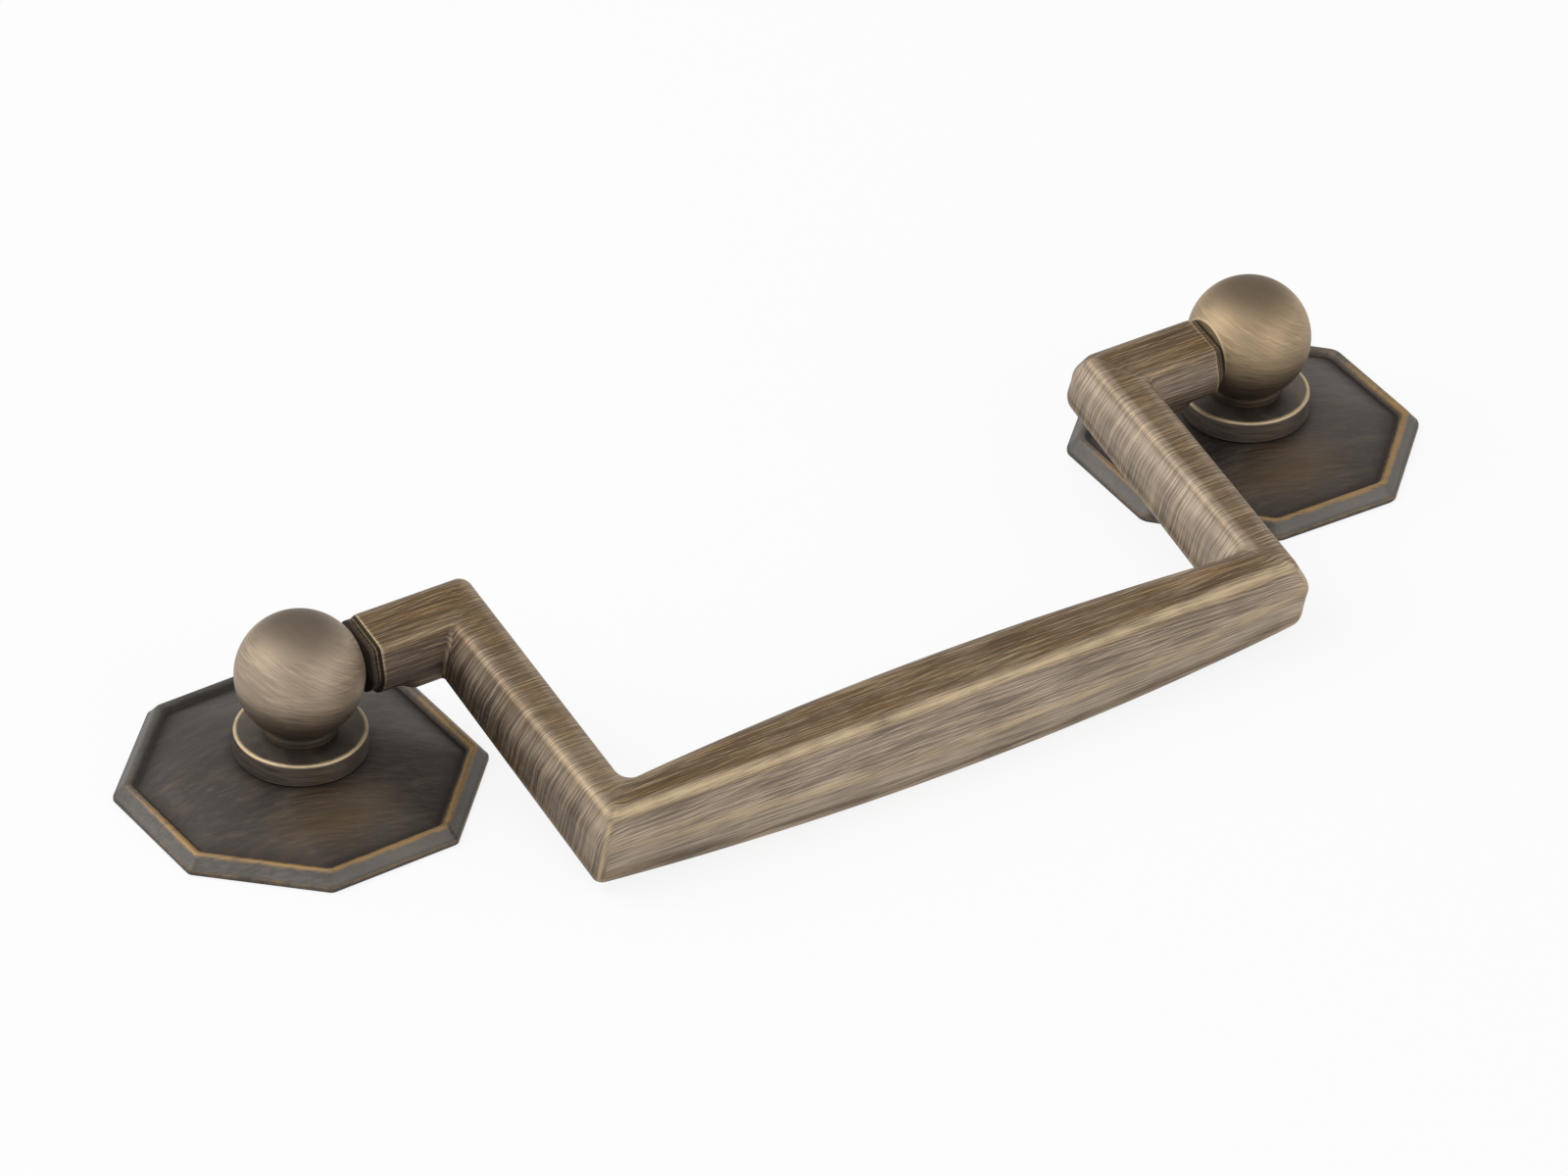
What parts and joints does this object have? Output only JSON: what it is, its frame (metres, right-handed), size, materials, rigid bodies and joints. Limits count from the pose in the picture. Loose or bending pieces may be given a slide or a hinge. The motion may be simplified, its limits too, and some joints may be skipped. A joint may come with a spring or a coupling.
{
  "type": "drop pull",
  "caption": "Drop pull with a swinging bail between ball posts, each post on a collar and an eight-sided backplate.",
  "frame": {"origin": "midway between the posts on the mounting plane", "axes": "+X from the left post to the right post, -Y the way the bail hangs, +Z out of the mounting plane"},
  "size_m": [0.1676, 0.0579, 0.0218],
  "materials": {
    "bail_brass": "dark antique, brushed, arrises rubbed bright",
    "post_brass": "dark antique, turned and brushed",
    "collar_brass": "dark antique, rim rubbed bright",
    "plate_brass": "dark antique, rim rubbed to gold brown"
  },
  "bodies": {
    "base": {"left_post": "post_brass", "right_post": "post_brass", "left_collar": "collar_brass", "right_collar": "collar_brass", "left_backplate": "plate_brass", "right_backplate": "plate_brass"},
    "handle": {"bail": "bail_brass"}
  },
  "joints": [
    {"name": "bail_swing", "type": "hinge", "parent": "base", "child": "handle", "pos_m": [0, 0, 0.0145], "axis": [-1, 0, 0], "range_deg": [0, 210]}
  ]
}
